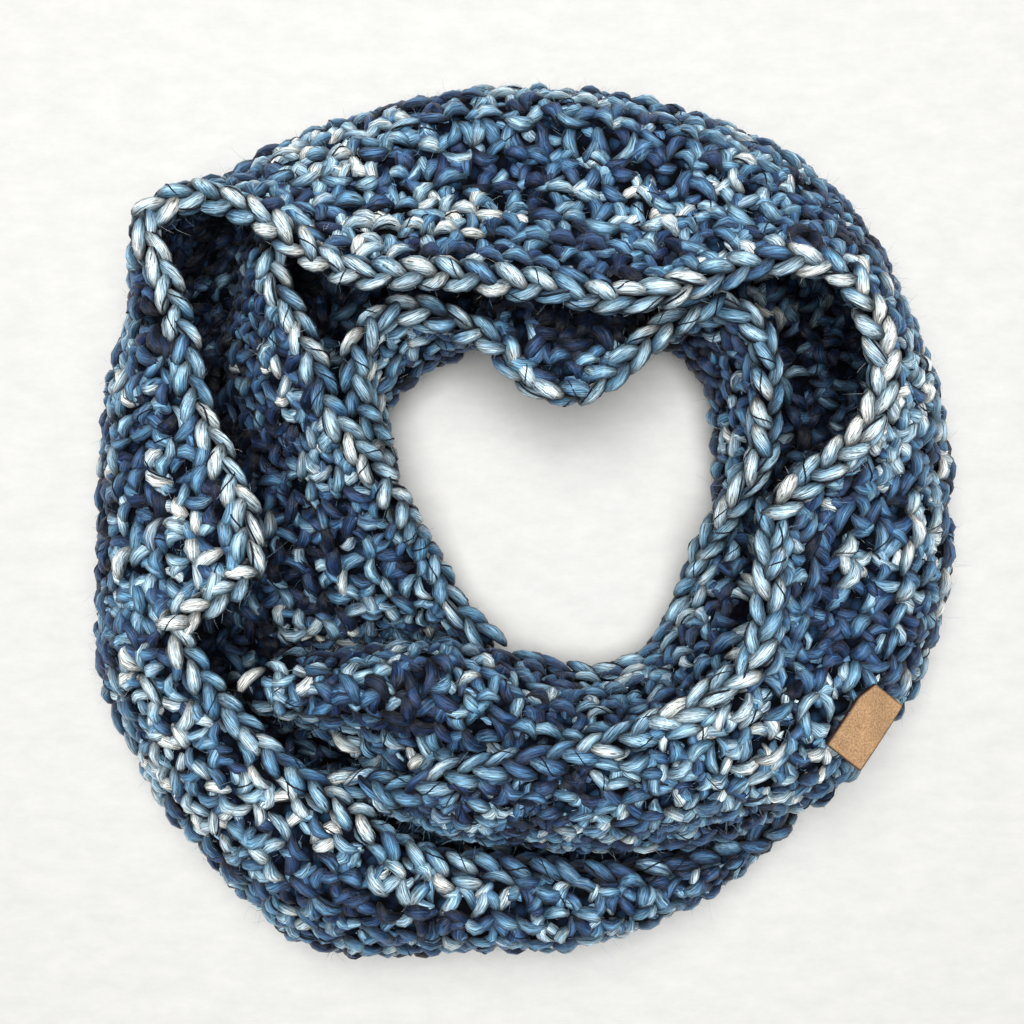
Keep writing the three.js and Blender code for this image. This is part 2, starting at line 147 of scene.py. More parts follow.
INNER_ROWS = np.array([
    [210, 117, 20, 114, 40, 120, 54, 133, 51, 143, 16],
    [215, 105, 21, 102, 42, 109, 57, 124, 56, 137, 18],
    [222, 86, 23, 82, 44, 89, 60, 106, 60, 128, 24],
    [230, 74, 24, 69, 45, 75, 61, 93, 63, 121, 28],
    [242, 68, 25, 61, 43, 65, 58, 82, 65, 114, 38],
    [252, 68, 24, 59, 41, 62, 56, 77, 65, 111, 46],
    [261, 66, 22, 58, 38, 61, 54, 75, 65, 110, 47],
    [270, 61, 24, 65, 42, 72, 56, 85, 64, 110, 46],
    [284, 66, 24, 73, 42, 81, 56, 92, 64, 113, 45],
    [300, 76, 22, 83, 40, 91, 54, 100, 62, 118, 43],
    [314, 80, 22, 88, 40, 96, 54, 104, 61, 121, 40],
    [326, 79, 22, 88, 40, 97, 53, 107, 58, 126, 30],
    [338, 77, 23, 88, 38, 97, 48, 108, 48, 129, 14],
    [350, 77, 30, 87, 35, 96, 36, 107, 28, 132, 5],
    [358, 80, 39, 86, 30, 93, 21, 103, 11, 133, HEM],
    [367, 88, 47, 87, 32, 89, 18, 99, 7, 134, HEM],
    [375, 99, 53, 93, 36, 93, 18, 103, 7, 138, HEM],
    [388, 110, 58, 101, 38, 98, 18, 108, 7, 140, HEM],
    [400, 121, 60, 109, 39, 102, 18, 112, 7, 141, HEM],
    [409, 116, 61, 107, 39, 102, 18, 112, 7, 141, HEM],
    [415, 93, 61, 94, 44, 97, 25, 107, 9, 139, HEM],
    [420, 70, 59, 80, 54, 92, 42, 102, 22, 134, HEM],
    [430, 57, 56, 70, 60, 85, 55, 97, 36, 129, HEM],
    [441, 56, 56, 70, 60, 85, 55, 97, 36, 129, HEM],
    [452, 63, 58, 75, 60, 88, 53, 98, 34, 129, HEM],
    [459, 74, 60, 80, 51, 86, 37, 97, 17, 130, HEM],
    [466, 81, 60, 81, 41, 84, 21, 96, 8, 130, HEM],
    [474, 92, 60, 85, 40, 82, 20, 93, 7, 128, HEM],
    [484, 100, 60, 89, 40, 82, 20, 93, 7, 127, HEM],
    [492, 97, 59, 88, 40, 81, 20, 92, 7, 122, HEM],
    [499, 90, 56, 85, 38, 80, 20, 90, 7, 114, HEM],
    [505, 80, 50, 78, 35, 77, 19, 86, 7, 106, HEM],
    [510, 69, 41, 70, 30, 71, 18, 78, 8, 96, HEM],
    [516, 65, 29, 67, 22, 69, 15, 74, 8, 86, 5],
    [522, 62, 22, 64, 18, 67, 14, 71, 10, 78, 6],
])

LEFT_ROWS = np.array([
    [126, 152, 48, 156, 43, 159, 37, 160, 31, 158, 16],
    [133.5, 147, 60, 155, 52, 159, 42, 160, 31, 157, 15.5],
    [139, 119, 60, 134, 54, 146, 43, 152, 31, 154, 15],
    [144, 103, 60, 120, 55, 135, 44, 146, 30, 150, 15],
    [149, 92, 59, 110, 54, 128, 43, 141, 28, 149, 15],
    [154, 79, 57, 98, 53, 117, 42, 132, 27, 141, 14],
    [159, 66, 54, 85, 51, 106, 41, 123, 27, 135, 14],
    [166, 57, 49, 76, 47, 98, 38, 116, 25, 131, 14],
    [175, 50, 41, 70, 41, 92, 33, 111, 24, 130, 14],
    [186, 46, 31, 66, 34, 90, 29, 109, 22, 129, 13.8],
    [196, 44, 26, 62, 29, 84, 24, 101, 19, 118, 13.8],
    [205, 43, 23, 57, 26, 74, 22, 88, 17, 102, 13.8],
    [214, 43, 22, 53, 24, 65, 20, 74, 14, 85, 8],
    [222, 44, 23, 50, 22, 57, 18, 62, 13, 68, 5],
    [230, 46, 24, 49, 21, 53, 17, 55, 13, 58, 6],
    [242, 48, 25, 50, 22, 52, 18, 54, 14, 56, 6],
    [254, 52, 25, 53, 22, 54, 18, 55, 14, 56, 6],
])

# Soft creases: winding angle, millimetres from the edge, degrees turned from along
# the band, length, width, and depth inward (a negative depth is a ridge)
OUTER_CREASES = [
    (96, 58, 4, 120, 13, 3.4),
    (70, 92, -8, 74, 11, 2.2),
    (112, 74, 14, 60, 9, 2.6),
    (28, 46, -34, 66, 10, 3.0),
    (8, 70, 12, 90, 12, 2.6),
    (-14, 44, 6, 84, 10, 3.2),
    (-30, 84, -10, 52, 9, -1.6),
    (-62, 52, 9, 78, 10, 3.0),
    (-88, 40, -6, 46, 8, 2.0),
    (172, 62, 10, 58, 10, 2.8),
    (186, 88, -14, 70, 12, 2.4),
    (206, 50, 22, 48, 9, 3.0),
    (228, 68, -6, 88, 12, 2.8),
    (262, 44, 7, 64, 9, 2.4),
    (284, 60, -4, 52, 10, 1.8),
]
INNER_CREASES = [
    (236, 46, 16, 46, 9, 2.2),
    (262, 34, -12, 40, 8, 2.0),
    (318, 40, 5, 62, 9, 2.4),
    (376, 34, -8, 56, 9, 2.6),
    (436, 42, 24, 40, 9, 2.8),
    (478, 30, -6, 48, 8, 2.0),
]
LEFT_CREASES = [
    (160, 36, 8, 56, 9, 2.4),
    (184, 48, -6, 60, 10, 2.2),
    (170, 64, 12, 34, 8, -1.4),
]


def slopes_of(rows):
    """Slope of every column at every row, flat at peaks and dips so that nothing overshoots."""
    chord = np.diff(rows[:, 1:], axis=0) / np.diff(rows[:, :1], axis=0)
    before, after = chord[:-1], chord[1:]
    total = np.where(before + after == 0, 1, before + after)
    inner = np.where(before * after <= 0, 0, 2 * before * after / total)
    return np.vstack([chord[:1], inner, chord[-1:]])


def read_table(rows, at):
    """All columns of a table at each winding angle."""
    i = np.clip(np.searchsorted(rows[1:, 0], at), 0, len(rows) - 2)
    gap = (rows[i + 1, 0] - rows[i, 0])[:, None]
    t = np.clip((at - rows[i, 0])[:, None] / gap, 0, 1)
    slope = slopes_of(rows)
    held = (1 + 2 * t) * (1 - t) ** 2 * rows[i, 1:] + t * t * (3 - 2 * t) * rows[i + 1, 1:]
    eased = t * (1 - t) ** 2 * gap * slope[i] + t * t * (t - 1) * gap * slope[i + 1]
    return held + eased


def centripetal(guides, steps):
    """A smooth curve through each row of guide points, with so many steps between two."""
    before = 2 * guides[:, :1] - guides[:, 1:2]
    after = 2 * guides[:, -1:] - guides[:, -2:-1]
    held = np.concatenate([before, guides, after], axis=1)
    spans = np.sqrt(np.linalg.norm(np.diff(held, axis=1), axis=2))[..., None]
    t = (np.arange(steps) / steps)[None, :, None]
    pieces = []
    for k in range(guides.shape[1] - 1):
        x0, x1, x2, x3 = (held[:, k + n, None, :] for n in range(4))
        d0, d1, d2 = (spans[:, k + n, None, :] for n in range(3))
        leave = ((x1 - x0) / d0 - (x2 - x0) / (d0 + d1) + (x2 - x1) / d1) * d1
        arrive = ((x2 - x1) / d1 - (x3 - x1) / (d1 + d2) + (x3 - x2) / d2) * d1
        square = -3 * x1 + 3 * x2 - 2 * leave - arrive
        cube = 2 * x1 - 2 * x2 + leave + arrive
        pieces.append(x1 + leave * t + square * t ** 2 + cube * t ** 3)
    return np.concatenate(pieces + [guides[:, -1:]], axis=1)


def unit(vectors):
    return vectors / np.maximum(np.linalg.norm(vectors, axis=-1, keepdims=True), 1e-12)


def turned(angle, one, other):
    """The direction that one has when it is turned toward the other."""
    return np.cos(angle)[..., None] * one + np.sin(angle)[..., None] * other


class Stretch:
    """A stretch of the band: the middle of its wall, from braided edge to hem, round the ring."""

    STEP = 0.5  # degrees of winding between two sections
    ACROSS = 120  # steps across the band
    CURVE_STEPS = 16  # steps between two guide points
    CREASE_REACH = 60  # degrees of winding that a crease can reach
    CREASE_DEEP = 40 * MM  # how far through the folds it can reach

    def __init__(self, rows, swing, creases, full_width, hem_reach):
        self.start, self.end = rows[0, 0], rows[-1, 0]
        self.full_width, self.hem_reach = full_width * MM, hem_reach * MM
        at = np.arange(self.start, self.end + self.STEP / 2, self.STEP)
        g = read_table(rows, at)
        turn = read_table(swing, at) if swing is not None else np.zeros((len(at), 3))
        laid = np.clip((8 - g[:, 9]) / (8 - HEM), 0, 1)
        foot_z = g[:, 9] + 0.5 * (1 - laid) * (g[:, 7] - g[:, 9])
        foot_r = g[:, 6] + 0.45 * (g[:, 8] - g[:, 6])
        radius = np.column_stack([g[:, 0:8:2], foot_r, g[:, 8]])
        height = np.column_stack([g[:, 1:8:2], foot_z, g[:, 9]])
        angle = np.radians(at[:, None] + np.pad(turn, ((0, 0), (0, 3))))
        guides = np.stack([
            RING_AXIS[0] + radius * np.cos(angle),
            RING_AXIS[1] + radius * np.sin(angle),
            height,
        ], axis=2) * MM
        curve = centripetal(guides, self.CURVE_STEPS)
        run = np.linalg.norm(np.diff(curve, axis=1), axis=2)
        length = np.concatenate([np.zeros((len(at), 1)), np.cumsum(run, axis=1)], axis=1)
        self.width = length[:, -1]
        share = np.linspace(0, 1, self.ACROSS + 1)
        self.points = np.stack([
            np.stack([np.interp(share * w, row, line[:, k]) for k in range(3)], axis=1)
            for w, row, line in zip(self.width, length, curve)
        ])
        self._face()
        for crease in creases:
            self._press(*crease)
        self._face()

    def _face(self):
        """Directions across the band, out of its face and along it, from its points."""
        self.across = unit(np.gradient(self.points, axis=1))
        along = np.gradient(self.points, axis=0)
        self.out = unit(np.cross(self.across, along))
        self.along = np.cross(self.out, self.across)

    def _press(self, at, from_edge, turn, length, width, depth):
        """One soft trough or ridge, pressed into the points."""
        i = int(round((at - self.start) / self.STEP))
        j = int(round(from_edge * MM / self.width[i] * self.ACROSS))
        away = self.points - self.points[i, min(j, self.ACROSS)]
        along, across = self.along[i, j], self.across[i, j]
        lean = math.radians(turn)
        u = away @ (math.cos(lean) * along + math.sin(lean) * across) / (length * MM / 2)
        v = away @ (math.cos(lean) * across - math.sin(lean) * along) / (width * MM)
        w = away @ self.out[i, j] / self.CREASE_DEEP
        near = np.abs(np.arange(len(self.width)) - i) < self.CREASE_REACH / self.STEP
        push = depth * MM * np.exp(-(u ** 4) - v ** 2 - w ** 2) * near[:, None]
        self.points = self.points - push[..., None] * self.out

    def place(self, at, distance):
        """Point, along, across and out at winding angles and distances from the edge."""
        i = np.clip((np.asarray(at) - self.start) / self.STEP, 0, len(self.width) - 1.001)
        low = i.astype(int)
        part = (i - low)[:, None]
        wide = self.width_at(at)
        j = np.clip(distance / wide, 0, 0.9999) * self.ACROSS
        left = j.astype(int)
        side = (j - left)[:, None]

        def mixed(grid):
            near = grid[low, left] * (1 - side) + grid[low, left + 1] * side
            far = grid[low + 1, left] * (1 - side) + grid[low + 1, left + 1] * side
            return near * (1 - part) + far * part

        out, across = unit(mixed(self.out)), unit(mixed(self.across))
        points = mixed(self.points) + across * np.maximum(distance - wide, 0)[:, None]
        return points, np.cross(out, across), across, out

    def width_at(self, at):
        grid = self.start + self.STEP * np.arange(len(self.width))
        return np.interp(at, grid, self.width)

    def pitch_at(self, at):
        """The row pitch, drawn in where the band narrows."""
        return ROW_PITCH * np.minimum(1, self.width_at(at) / self.full_width)

    def row_distance(self, at, row):
        return FIRST_ROW_AT + (row + 0.5) * self.pitch_at(at)

    def trace(self, distance_at):
        """A line along the band: its winding angles, its points, and how far each is along it."""
        at = np.arange(self.start + 0.2, self.end - 0.2, 0.25)
        line = self.place(at, distance_at(at))[0]
        gone = np.concatenate([[0], np.cumsum(np.linalg.norm(np.diff(line, axis=0), axis=1))])
        return at, line, gone


# Guide tables, then the width of a full row count and how far stitches pass the hem, in mm
OUTER = Stretch(OUTER_ROWS, OUTER_SWING, OUTER_CREASES, 150, 8)
INNER = Stretch(INNER_ROWS, None, INNER_CREASES, 84, 4.5)
LEFT = Stretch(LEFT_ROWS, None, LEFT_CREASES, 68, 4.5)

# Node, stretch, winding angles in degrees, how it is held, what it lies on
SPANS = [
    ("over_bottom", OUTER, -128, -50, "folded", ["under_bottom", "inner_bottom"]),
    ("outer_right", OUTER, -50, 48, "laid", []),
    ("outer_top", OUTER, 48, 120, "laid", ["inner_top"]),
    ("outer_corner", OUTER, 120, 160, "folded", []),
    ("outer_left", OUTER, 160, 250, "laid", []),
    ("under_bottom", OUTER, 250, 312, "laid", []),
    ("inner_bottom", INNER, 210, 290, "folded", []),
    ("inner_right", INNER, 290, 410, "laid", ["outer_right"]),
    ("inner_top", INNER, 410, 522, "laid", ["outer_top"]),
    ("inner_left", LEFT, 126, 254, "laid", ["outer_left"]),
]


# ------- materials
def colour(code):
    """An sRGB hex colour as linear RGBA."""
    parts = [int(code[k:k + 2], 16) / 255 for k in (1, 3, 5)]
    return [c / 12.92 if c <= 0.04045 else ((c + 0.055) / 1.055) ** 2.4 for c in parts] + [1.0]


def add_node(tree, kind, inputs=None, **settings):
    """A shader node with its settings; an input is a value, or a socket to link it to."""
    made = tree.nodes.new("ShaderNode" + kind)
    for name, value in settings.items():
        setattr(made, name, value)
    for name, value in (inputs or {}).items():
        if isinstance(value, bpy.types.NodeSocket):
            tree.links.new(value, made.inputs[name])
        else:
            made.inputs[name].default_value = value
    return made


def new_material(name):
    """An empty material, and add_node for its nodes."""
    made = bpy.data.materials.new(name)
    made.use_nodes = True
    made.node_tree.nodes.clear()
    return made, functools.partial(add_node, made.node_tree)


def roving_yarn():
    """Acrylic and wool roving, two soft plies of different dye, each a bundle of long fibres.

    The fibres lie along each loop and catch the light as fine streaks.
    """
    made, add = new_material("hand_dyed_roving_yarn")
    fibre, ply_one_dye_and_painted_light, ply_two_dye_and_painted_light = (
        add("Attribute", attribute_name=label).outputs
        for label in ("fibre", "ply_one_dye_and_painted_light", "ply_two_dye_and_painted_light"))
    # bundles of fibre about 0.6 mm wide, and streaks about 0.2 mm wide, coarser than real to show
    bundle_at = add("Mapping", {"Vector": fibre["Vector"], "Scale": (900, 900, 70)})
    bundle = add("TexNoise", {
        "Vector": bundle_at.outputs[0], "Scale": 1.0, "Detail": 2.0, "Roughness": 0.5})
    streak_at = add("Mapping", {"Vector": fibre["Vector"], "Scale": (2200, 2200, 115)})
    streak = add("TexNoise", {
        "Vector": streak_at.outputs[0], "Scale": 1.0, "Detail": 3.0, "Roughness": 0.62})
    share = add("MapRange", {"Value": bundle.outputs["Fac"], "From Min": 0.36, "From Max": 0.66})
    plied = add("Mix", {
        0: share.outputs[0], 6: ply_one_dye_and_painted_light["Color"], 7: ply_two_dye_and_painted_light["Color"]}, data_type="RGBA")
    shade = add("MapRange", {
        "Value": streak.outputs["Fac"], "From Min": 0.33, "From Max": 0.67,
        "To Min": 0.06, "To Max": 2.02})
    streaked = add("VectorMath", {
        0: plied.outputs[2], "Scale": shade.outputs[0]}, operation="SCALE")
    height = add("Math", {0: streak.outputs["Fac"], 1: bundle.outputs["Fac"]}, operation="ADD")
    bump = add("Bump", {"Height": height.outputs[0], "Strength": 1.0, "Distance": 0.0006})
    cloth = add("BsdfPrincipled", {
        "Base Color": streaked.outputs[0], "Roughness": 0.36, "Specular IOR Level": 0.34,
        "Sheen Weight": 0.06, "Sheen Roughness": 0.35, "Normal": bump.outputs[0]})
    add("OutputMaterial", {"Surface": cloth.outputs[0]})
    return made


def yarn_ground():
    """The inside of the crochet, where the loops cross: the same yarn, matted, in painted shade."""
    made, add = new_material("crossed_yarn_ground")
    where = add("TexCoord").outputs["Object"]
    # crossing loops about 4.5 mm wide, each of one dye, and matted fibres about 0.7 mm wide
    loops = add("TexVoronoi", {"Vector": where, "Scale": 220.0})
    matted = add("TexNoise", {"Vector": where, "Scale": 1400.0, "Detail": 2.0, "Roughness": 0.6})
    dye = add("SeparateColor", {"Color": loops.outputs["Color"]})
    # painted shade: the ground's tones are far darker than the loops' dyes
    tone = add("ValToRGB", {"Fac": dye.outputs[0]})
    stops = tone.color_ramp.elements
    stops[0].color = colour("#0A0F1E")
    stops[1].color = colour("#31567A")
    stops.new(0.6).color = colour("#172540")
    # painted shade: darker from the middle of each crossing loop toward its rim
    sunk = add("MapRange", {
        "Value": loops.outputs["Distance"], "From Min": 0.15, "From Max": 0.75,
        "To Min": 1.0, "To Max": 0.04})
    shade = add("Math", {0: sunk.outputs[0], 1: matted.outputs["Fac"]}, operation="MULTIPLY")
    shaded = add("VectorMath", {0: tone.outputs[0], "Scale": shade.outputs[0]}, operation="SCALE")
    bump = add("Bump", {"Height": sunk.outputs[0], "Strength": 0.8, "Distance": 0.0016})
    cloth = add("BsdfPrincipled", {
        "Base Color": shaded.outputs[0], "Roughness": 0.85, "Specular IOR Level": 0.08,
        "Normal": bump.outputs[0]})
    add("OutputMaterial", {"Surface": cloth.outputs[0]})
    return made


def binder_thread():
    """A thin, tightly spun black thread that is wound round the roving."""
    made, add = new_material("spun_binder_thread")
    where = add("TexCoord").outputs["Object"]
    ply = add("TexNoise", {"Vector": where, "Scale": 2600.0, "Detail": 2.0})
    tone = add("ValToRGB", {"Fac": ply.outputs["Fac"]})
    stops = tone.color_ramp.elements
    stops[0].color = colour("#06080D")
    stops[1].color = colour("#1A2130")
    cloth = add("BsdfPrincipled", {
        "Base Color": tone.outputs[0], "Roughness": 0.6, "Specular IOR Level": 0.35})
    add("OutputMaterial", {"Surface": cloth.outputs[0]})
    return made


def loose_fibre():
    """Single fibres that stand off the yarn as a halo; drawn coarser than real to show."""
    made, add = new_material("loose_wool_fibre")
    tint = add("Attribute", attribute_name="tint").outputs["Color"]
    cloth = add("BsdfPrincipled", {
        "Base Color": tint, "Roughness": 0.6, "Specular IOR Level": 0.3,
        "Sheen Weight": 0.3, "Sheen Roughness": 0.4})
    add("OutputMaterial", {"Surface": cloth.outputs[0]})
    return made


def tanned_leather():
    """Vegetable-tanned leather, cut by heat: a fine pale grain, and rims scorched brown."""
    made, add = new_material("vegetable_tanned_leather")
    where = add("TexCoord").outputs["Object"]
    rim = add("Attribute", attribute_name="rim").outputs["Fac"]
    grain = add("TexNoise", {"Vector": where, "Scale": 1500.0, "Detail": 4.0, "Roughness": 0.7})
    pores = add("TexVoronoi", {"Vector": where, "Scale": 1150.0})
    cloudy = add("TexNoise", {"Vector": where, "Scale": 110.0, "Detail": 2.0})
    tan = add("ValToRGB", {"Fac": grain.outputs["Fac"]})
    stops = tan.color_ramp.elements
    stops[0].position, stops[0].color = 0.32, colour("#84603C")
    stops[1].position, stops[1].color = 0.66, colour("#CDA375")
    clouded = add("MapRange", {
        "Value": cloudy.outputs["Fac"], "From Min": 0.3, "From Max": 0.7,
        "To Min": 0.86, "To Max": 1.14})
    warm = add("HueSaturation", {
        "Color": tan.outputs[0], "Saturation": 0.94, "Value": clouded.outputs[0]})
    scorched = add("Mix", {0: rim, 6: warm.outputs[0], 7: colour("#3B2414")}, data_type="RGBA")
    bump = add("Bump", {"Height": pores.outputs["Distance"], "Strength": 0.35, "Distance": 0.00025})
    hide = add("BsdfPrincipled", {
        "Base Color": scorched.outputs[2], "Roughness": 0.58, "Specular IOR Level": 0.4,
        "Normal": bump.outputs[0]})
    add("OutputMaterial", {"Surface": hide.outputs[0]})
    return made


YARN = roving_yarn()
GROUND = yarn_ground()
THREAD = binder_thread()
FIBRE = loose_fibre()
LEATHER = tanned_leather()


# ------- how pieces are made
def put_in_scene(name, data):
    """An object of the data, at the origin, in the scene."""
    made = bpy.data.objects.new(name, data)
    bpy.context.scene.collection.objects.link(made)
    return made


def flat_grid(columns, rows):
    """A grid of faces, and how far each of its points is along both its sides, from 0 to 1."""
    bm = bmesh.new()
    bmesh.ops.create_grid(bm, x_segments=columns, y_segments=rows, size=0.5)
    spots = np.array([vert.co for vert in bm.verts]) + 0.5
    return bm, spots[:, 0], spots[:, 1]


def bent_sheet(name, bm, points, out, thickness, material):
    """A grid bent to its points, with its face the way that out points, and thickened."""
    for vert, point in zip(bm.verts, points):
        vert.co = point
    bmesh.ops.recalc_face_normals(bm, faces=bm.faces)
    bm.normal_update()
    bm.verts.ensure_lookup_table()
    if bm.verts[len(points) // 2].normal.dot(Vector(out)) < 0:
        bmesh.ops.reverse_faces(bm, faces=bm.faces)
    mesh = bpy.data.meshes.new(name)
    bm.to_mesh(mesh)
    bm.free()
    mesh.shade_smooth()
    mesh.materials.append(material)
    piece = put_in_scene(name, mesh)
    wall = piece.modifiers.new("wall", "SOLIDIFY")
    wall.thickness = thickness
    wall.offset = 0
    return piece


# ------- the ground of the cloth, one thin shell to a node
def cloth_ground(name, stretch, start, end):
    columns, degrees_a_face = 32, 3
    bm, share, part = flat_grid(columns, max(8, int(round((end - start) / degrees_a_face))))
    at = start + (end - start) * part
    points, _, _, out = stretch.place(at, share * (stretch.width_at(at) + stretch.hem_reach))
    points[:, 2] = np.maximum(points[:, 2], GROUND_THICKNESS / 2 + GROUND_CLEAR)
    return bent_sheet(name, bm, points, out[len(out) // 2], GROUND_THICKNESS, GROUND)


def cloth_area(stretch, start, end):
    """Mean width and mean length of a span, which is the cut that it was made to."""
    i = int(round((start - stretch.start) / stretch.STEP))
    j = int(round((end - stretch.start) / stretch.STEP))
    grid = stretch.points[i:j + 1]
    lengths = np.linalg.norm(np.diff(grid, axis=0), axis=2).sum(axis=0)
    return float(stretch.width[i:j + 1].mean()), float(lengths.mean())


# ------- what can be seen from outside, so that hidden stitches aren't made
# Looks outward: degrees above the surface, and how many all round. One more look goes to a
# place well above the ring, and it counts for several.
LOOKS = ((6, 14), (22, 12), (42, 10), (62, 8), (78, 5))
LOOK_TURN = 0.37
LOOK_FAR = 0.5
LOOK_BACK = -0.35
ABOVE = Vector((0, 0, 0.6))
ABOVE_COUNTS = 6
# Looks start this far over a loop, and at least this far over the surface
LOOK_FROM = 4.6 * MM
LOOK_LOWEST = 1.2 * MM
# Painted shade of yarn deep in the folds, from how open it is: looks that are open, the share
# of light that it takes, and how much darker its tone can be
PAINTED_FOLD_SHADE = ([5, 13, 26, 38], [0.16, 0.52, 0.88, 1.04])
DEEP_PAINTED_SHADE = 0.3
# Open looks that a loop needs to be made: on top, sunk between others, and facing down
LEAST_ON_TOP, LEAST_SUNK, LEAST_UNDER = 3, 14, 11
SUNK_LIFT = 2
FACING_DOWN = -0.6


def look_ways():
    ways = []
    for height, count in LOOKS:
        for k in range(count):
            turn, rise = 2 * math.pi * (k + LOOK_TURN) / count, math.radians(height)
            level = math.cos(rise)
            ways.append(Vector((math.cos(turn) * level, math.sin(turn) * level, math.sin(rise))))
    return ways


def folds_tree():
    """The three stretches as coarse sheets, for rays to hit."""
    points, faces = [], []
    for stretch in (OUTER, INNER, LEFT):
        grid = stretch.points[::3, ::4]
        k = len(points) + np.arange(grid[..., 0].size).reshape(grid.shape[:2])
        points += grid.reshape(-1, 3).tolist()
        corners = np.stack([k[:-1, :-1], k[:-1, 1:], k[1:, 1:], k[1:, :-1]], axis=-1)
        faces += corners.reshape(-1, 4).tolist()
    return BVHTree.FromPolygons(points, faces)


WAYS = look_ways()
FOLDS = folds_tree()


def openness(point, facing):
    """How many of the looks from a point reach the open air."""
    start = Vector(point)
    start.z = max(start.z, LOOK_LOWEST)
    clear = ABOVE_COUNTS * (FOLDS.ray_cast(start, ABOVE - start, ABOVE.z)[0] is None)
    for way in WAYS:
        if way.dot(facing) > LOOK_BACK and FOLDS.ray_cast(start, way, LOOK_FAR)[0] is None:
            clear += 1
    return clear


# ------- yarn colours, dark to light
DYE_STOPS = np.array([0.0, 0.24, 0.42, 0.58, 0.74, 0.88, 1.0])
DYES = np.array([
    colour(code)[:3]
    for code in ("#0E1A2E", "#273B62", "#40658E", "#5F91B1", "#9CC0D4", "#C9DBE4", "#ECEEE9")
])


def dyed(tone):
    tone = np.clip(tone, 0, 1)
    return np.stack([np.interp(tone, DYE_STOPS, DYES[:, k]) for k in range(3)], axis=-1)


def dye_run(length, step, seed):
    """How light the yarn is along its length: a chance value every step, eased between."""
    values = np.random.default_rng(seed).random(int(length / step) + 4)

    def tone(gone):
        k = np.clip(gone / step, 0, len(values) - 2.001)
        low = k.astype(int)
        part = k - low
        part = part * part * (3 - 2 * part)
        return values[low] * (1 - part) + values[low + 1] * part

    return tone


# Lengths of the two runs of dye that are mixed along a row, how much each counts, and a length
# of yarn that is longer than any row
DYE_RUNS = (0.036, 0.013)
DYE_SHARE = 0.46
ROW_YARN = 2.2

# Places where one dye shows most, and hollows darkened as painted shade: stretch, winding
# angles, rows, side of the cloth (0 is both), and how far it shifts
DYE_AND_SHADE_PLACES = [
    (OUTER, 60, 118, 0, 2, 0, -0.02),
    (OUTER, 104, 138, 3, 5, 0, 0.10),
    (OUTER, 56, 74, 6, 8, 0, 0.06),
    (OUTER, 150, 166, 3, 6, 0, 0.12),
    (OUTER, 196, 250, 1, 3, 0, 0.04),
    (OUTER, -92, -74, 1, 3, 0, 0.12),
    (OUTER, -8, 22, 2, 5, 1, 0.10),
    # lighter on the back of the right stretch, which lessens the painted shade in that hollow
    (OUTER, -10, 50, 1, 12, -1, 0.08),
    (INNER, 370, 410, 3, 9, 1, 0.08),
    # painted shade: the hollows behind the outer corner and left, in the inner left, and in the
    # pocket under the top edge
    (OUTER, 126, 205, 1, 12, -1, -0.30),
    (LEFT, 126, 200, 3, 12, 0, -0.22),
    (INNER, 412, 456, 0, 0, 0, -0.16),
    (INNER, 412, 456, 1, 9, 0, -0.46),
    (LEFT, 190, 254, 1, 12, 0, 0.08),
]

# Colour of the braided edge: stretch, then winding angle and how light
EDGE_DYES = [
    (OUTER, [
        (-128, 0.52), (-100, 0.64), (-60, 0.68), (0, 0.70), (50, 0.68), (80, 0.72), (110, 0.77),
        # from 250 degrees on, the edge runs in the dark valley under the roll and is darker, as
        # plain fabric and as painted shade
        (140, 0.76), (170, 0.80), (200, 0.76), (210, 0.60), (250, 0.54), (262, 0.34), (312, 0.34),
    ]),
    (INNER, [(210, 0.54), (300, 0.60), (360, 0.68), (400, 0.70), (430, 0.64), (522, 0.72)]),
    (LEFT, [(126, 0.66), (150, 0.76), (180, 0.68), (254, 0.60)]),
]


RING_AT = np.array([0.0, 0.07, 0.26, 0.50, 0.74, 0.93, 1.0])
RING_GIRTH = np.array([0.0, 0.50, 0.90, 1.0, 0.90, 0.50, 0.0])
RINGS = len(RING_AT) - 2
# degrees round a loop's section, closer on top, where they show
SECTION = np.radians([-90, -12, 38, 90, 142, 192])
SIDES = len(SECTION)
# how flat the section is, the painted light on it, which grows from its underside to its top,
# and how much painted light the two ends take
FLATTENED = 0.86
PAINTED_FACING_LIGHT = ([-1, -0.21, 0.62, 1], [0.05, 0.16, 0.68, 1.36])
END_LIGHT = 0.4


def in_loop(loops, t, girth, angle):
    """Points of loops, along, beside and over the middle of each, which bows and bends."""
    length, bend, bow = (
        loops[key].reshape((-1,) + (1,) * (t.ndim - 1)) for key in ("length", "bend", "bow"))
    return np.stack(np.broadcast_arrays(
        (t - 0.5) * length,
        girth * np.cos(angle) + bend * (1 - (2 * t - 1) ** 2),
        FLATTENED * girth * np.sin(angle) - bow * (2 * t - 1) ** 2,
    ), axis=-1)


def on_scarf(loops, local, clear):
    """The same points on the scarf, and no lower than clear over the surface."""
    run, rise = loops["run"][:, None], loops["rise"][:, None]
    points = (
        loops["centre"][:, None]
        + local[..., :1] * run + local[..., 1:2] * np.cross(rise, run) + local[..., 2:] * rise
    )
    points[..., 2] = np.maximum(points[..., 2], clear)
    return points


def repeated(triangles, points_each, n):
    """The triangles of one small mesh, for n of them in a row."""
    first = points_each * np.arange(n)[:, None, None]
    return (np.array(triangles)[None] + first).reshape(-1, 3)


def loop_triangles():
    """The triangles of a loop, whose points are one end, its rings and the other end."""
    end, last = 1 + SIDES * RINGS, 1 + SIDES * (RINGS - 1)
    triangles = []
    for j in range(SIDES):
        k = (j + 1) % SIDES
        triangles += [(0, 1 + k, 1 + j), (end, last + j, last + k)]
        for i in range(RINGS - 1):
            a, b = 1 + i * SIDES + j, 1 + i * SIDES + k
            triangles += [(a, b, a + SIDES), (b, b + SIDES, a + SIDES)]
    return triangles


